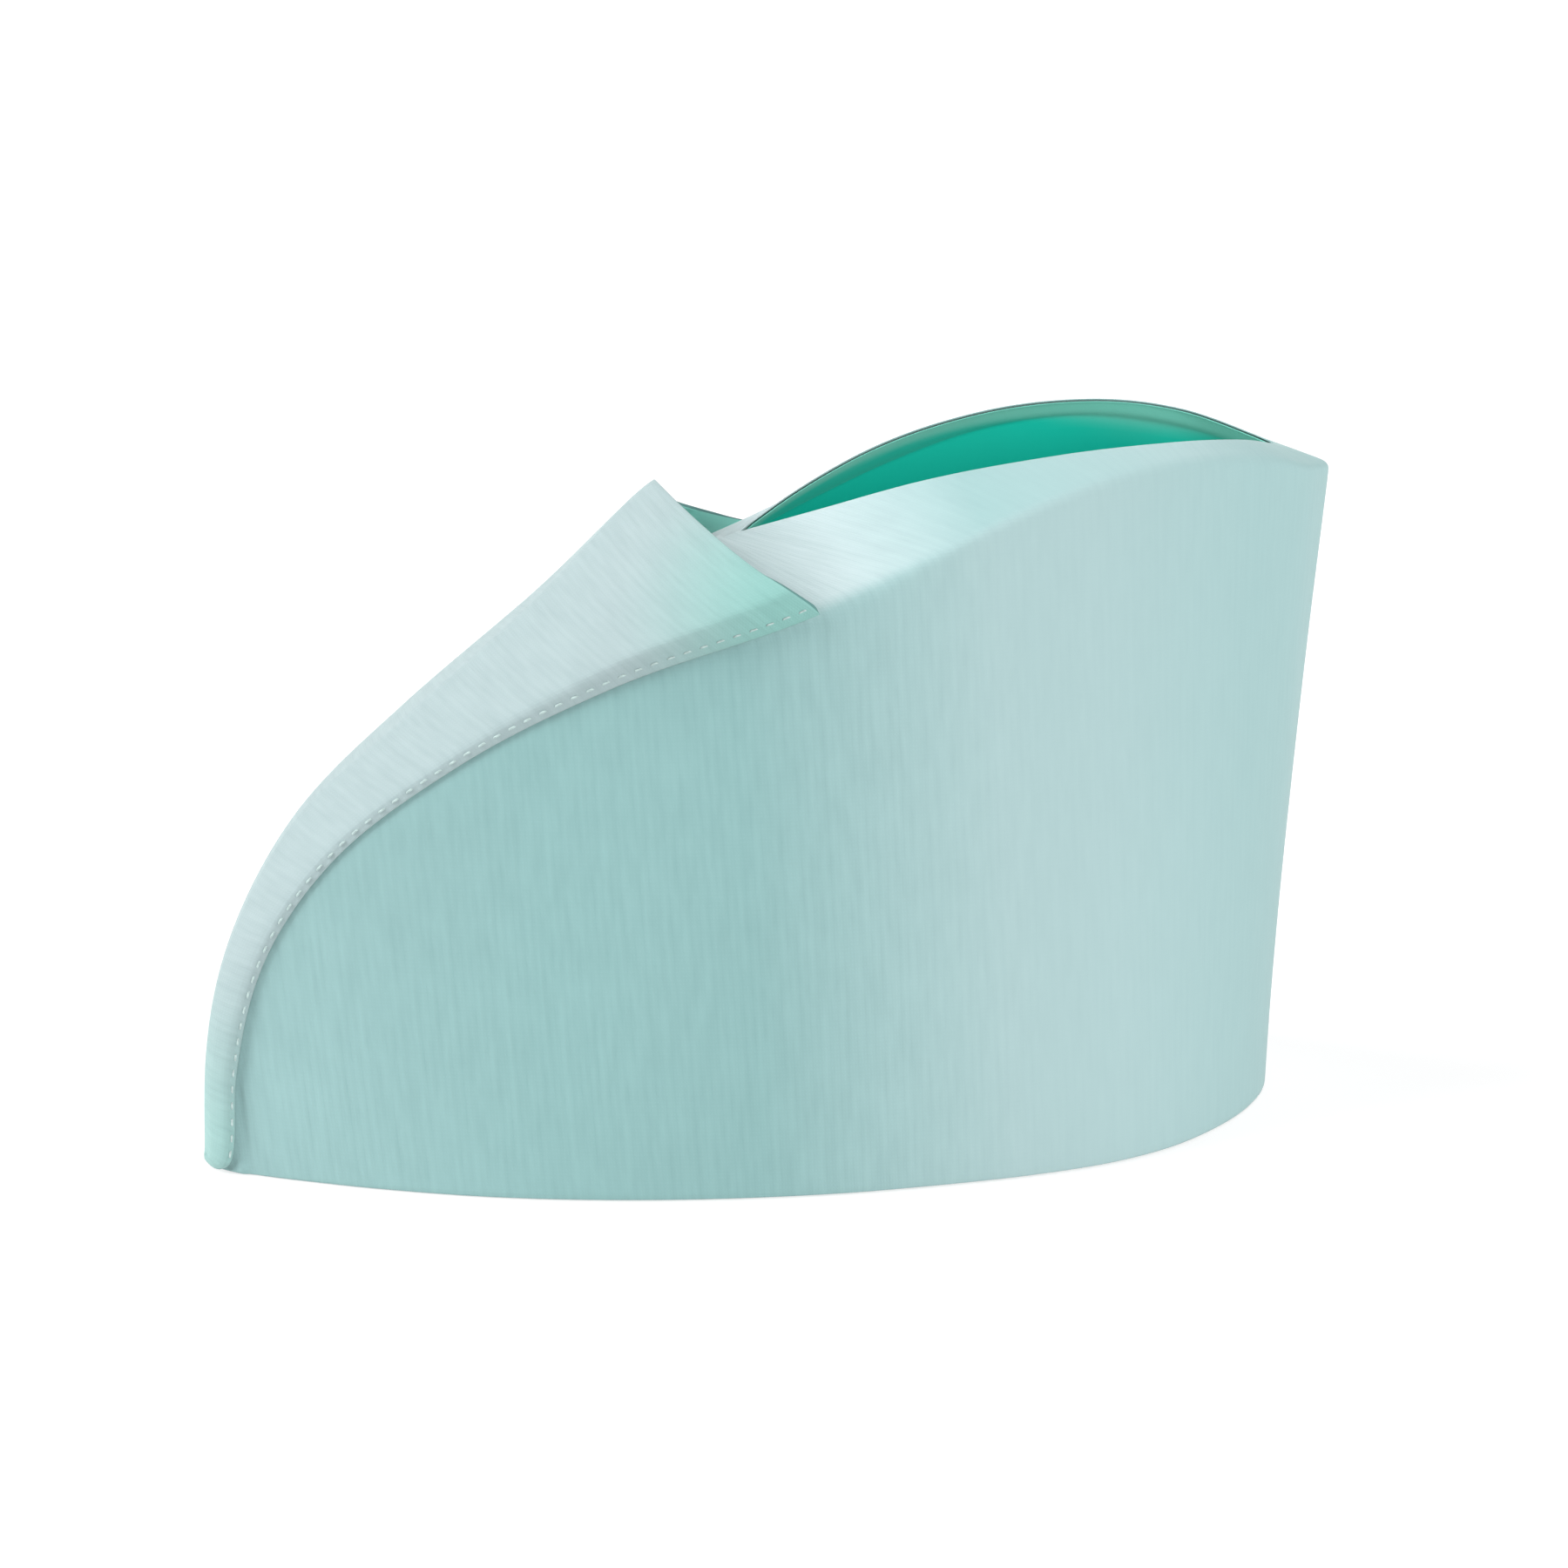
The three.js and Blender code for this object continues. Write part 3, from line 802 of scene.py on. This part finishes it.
class NURSECAP_OT_stitching(CapOperator, bpy.types.Operator):
    """Sew the flap's lower edge down with light stitches"""

    bl_idname = "nurse_cap.stitching"
    bl_label = "Stitching"

    def make(self, sizes, colours):
        shares = np.linspace(0.03, FLAP_END - 0.002, 900)
        inset = FLAP_START_LEVEL + sizes.stitch_inset / (2 * sizes.fold_softness)
        level = np.full((len(shares), 1), inset)
        out = flap_face(sizes, level)
        path = flap_grid(sizes, shares, level, out)[:, 0]
        away = flap_grid(sizes, shares, level, out + 0.001)[:, 0] - path
        away /= np.linalg.norm(away, axis=1, keepdims=True)
        run = np.concatenate([[0], np.cumsum(np.linalg.norm(np.diff(path, axis=0), axis=1))])
        mesh = bmesh.new()

        def stitch(start, sign):
            steps = np.linspace(0, 1, 9)
            rings = []
            for step in steps:
                at = start + step * sizes.stitch_length
                point = np.array([np.interp(at, run, path[:, k]) for k in range(3)])
                after = np.array([np.interp(at + 2e-4, run, path[:, k]) for k in range(3)])
                out_way = np.array([np.interp(at, run, away[:, k]) for k in range(3)])
                side_way = np.cross((after - point) / np.linalg.norm(after - point), out_way)
                round_off = math.sqrt(max(0.0, 1 - (2 * step - 1) ** 4))
                radius = THREAD_RADIUS * max(0.25, round_off)
                middle = point + out_way * (round_off * 1.2 - 0.6) * THREAD_RADIUS
                ring = []
                for corner in range(8):
                    turn = math.tau * corner / 8
                    place = middle + radius * (math.cos(turn) * out_way + math.sin(turn) * side_way)
                    place = place * (1, sign, 1) + (BACK_TIP_X, 0, 0)
                    ring.append(mesh.verts.new(place))
                rings.append(ring)
            for a, b in zip(rings, rings[1:]):
                for k in range(8):
                    mesh.faces.new((a[k], a[k - 7], b[k - 7], b[k])).smooth = True
            mesh.faces.new(rings[0])
            mesh.faces.new(rings[-1])

        for start in np.arange(0.0, run[-1] - sizes.stitch_length, sizes.stitch_pitch):
            for sign in (1, -1):
                stitch(start, sign)
        bmesh.ops.recalc_face_normals(mesh, faces=mesh.faces)
        data = bpy.data.meshes.new("flap_stitching")
        mesh.to_mesh(data)
        mesh.free()
        data.materials.append(thread_material("thread", colours.thread))
        stitches = bpy.data.objects.new("flap_stitching", data)
        bpy.context.collection.objects.link(stitches)
        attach(stitches, "root")


def seen_from(azimuth, elevation):
    """Direction towards a light or the camera, from angles in degrees."""
    turn, rise = math.radians(azimuth), math.radians(elevation)
    return Vector((
        math.sin(turn) * math.cos(rise),
        -math.cos(turn) * math.cos(rise),
        math.sin(rise),
    ))


class NURSECAP_OT_stage(CapOperator, bpy.types.Operator):
    """Set up the pale floor, the soft lights and the camera"""

    bl_idname = "nurse_cap.stage"
    bl_label = "Stage"

    def make(self, sizes, colours):
        scene = bpy.context.scene
        scene.view_settings.view_transform = "Standard"
        mesh = bmesh.new()
        bmesh.ops.create_circle(mesh, cap_ends=True, segments=96, radius=FLOOR_RADIUS)
        data = bpy.data.meshes.new("floor")
        mesh.to_mesh(data)
        mesh.free()
        floor = bpy.data.objects.new("floor", data)
        floor.location.z = cad_box[0][2] - FLOOR_DROP
        bpy.context.collection.objects.link(floor)
        plain = bpy.data.materials.new("plain floor")
        plain.use_nodes = True
        surface = plain.node_tree.nodes["Principled BSDF"]
        surface.inputs["Base Color"].default_value = (*colours.floor, 1)
        surface.inputs["Roughness"].default_value = 0.9
        surface.inputs["Emission Color"].default_value = (1, 1, 1, 1)
        surface.inputs["Emission Strength"].default_value = FLOOR_GLOW
        data.materials.append(plain)

        world = bpy.data.worlds.new("soft room")
        world.use_nodes = True
        tree = world.node_tree
        place = node(tree, "ShaderNodeTexCoord", (-800, 0))
        height = node(tree, "ShaderNodeSeparateXYZ", (-600, 0))
        tree.links.new(place.outputs["Generated"], height.inputs["Vector"])
        bright = stretched_range(tree, height.outputs["Z"], (0.04, 0.3), (1.0, 0.15), (-400, 0))
        tree.links.new(bright, tree.nodes["Background"].inputs["Color"])
        scene.world = world

        for name, azimuth, elevation, spread, strength in LIGHTS:
            light = bpy.data.lights.new(name, "SUN")
            light.angle = math.radians(spread)
            light.energy = strength
            lamp = bpy.data.objects.new(name, light)
            way = seen_from(azimuth, elevation)
            lamp.location = way * 2
            lamp.rotation_euler = way.to_track_quat("Z", "Y").to_euler()
            bpy.context.collection.objects.link(lamp)

        camera_data = bpy.data.cameras.new("camera")
        camera_data.lens = CAMERA_LENS
        camera_data.sensor_width = CAMERA_FILM
        camera_data.clip_start = 0.05
        camera = bpy.data.objects.new("camera", camera_data)
        away = seen_from(CAMERA_AZIMUTH, CAMERA_ELEVATION)
        camera.location = CAMERA_TARGET + CAMERA_DISTANCE * away
        look = CAMERA_TARGET - camera.location
        camera.rotation_euler = look.to_track_quat("-Z", "Y").to_euler()
        bpy.context.collection.objects.link(camera)
        scene.camera = camera


PIECES = (
    NURSECAP_OT_band,
    NURSECAP_OT_lining,
    NURSECAP_OT_flap,
    NURSECAP_OT_stitching,
    NURSECAP_OT_stage,
)


class NURSECAP_PT_pieces(bpy.types.Panel):
    """The cap's sizes, colours and pieces"""

    bl_label = "Nurse Cap"
    bl_idname = "NURSECAP_PT_pieces"
    bl_space_type = "VIEW_3D"
    bl_region_type = "UI"
    bl_category = "Nurse Cap"

    def draw(self, context):
        layout = self.layout
        for group in (context.scene.cap_sizes, context.scene.cap_colours):
            column = layout.column(align=True)
            for name in group.__annotations__:
                column.prop(group, name)
        column = layout.column(align=True)
        for piece in PIECES:
            column.operator(piece.bl_idname)


CLASSES = (CapSizes, CapColours, *PIECES, NURSECAP_PT_pieces)


def register():
    for made in CLASSES:
        bpy.utils.register_class(made)
    bpy.types.Scene.cap_sizes = bpy.props.PointerProperty(type=CapSizes)
    bpy.types.Scene.cap_colours = bpy.props.PointerProperty(type=CapColours)


def unregister():
    del bpy.types.Scene.cap_colours
    del bpy.types.Scene.cap_sizes
    for made in reversed(CLASSES):
        bpy.utils.unregister_class(made)


def main():
    register()
    bpy.ops.nurse_cap.band()
    bpy.ops.nurse_cap.lining()
    bpy.ops.nurse_cap.flap()
    bpy.ops.nurse_cap.stitching()
    bpy.ops.nurse_cap.stage()
    bpy.context.view_layer.update()


if __name__ == "__main__":
    main()
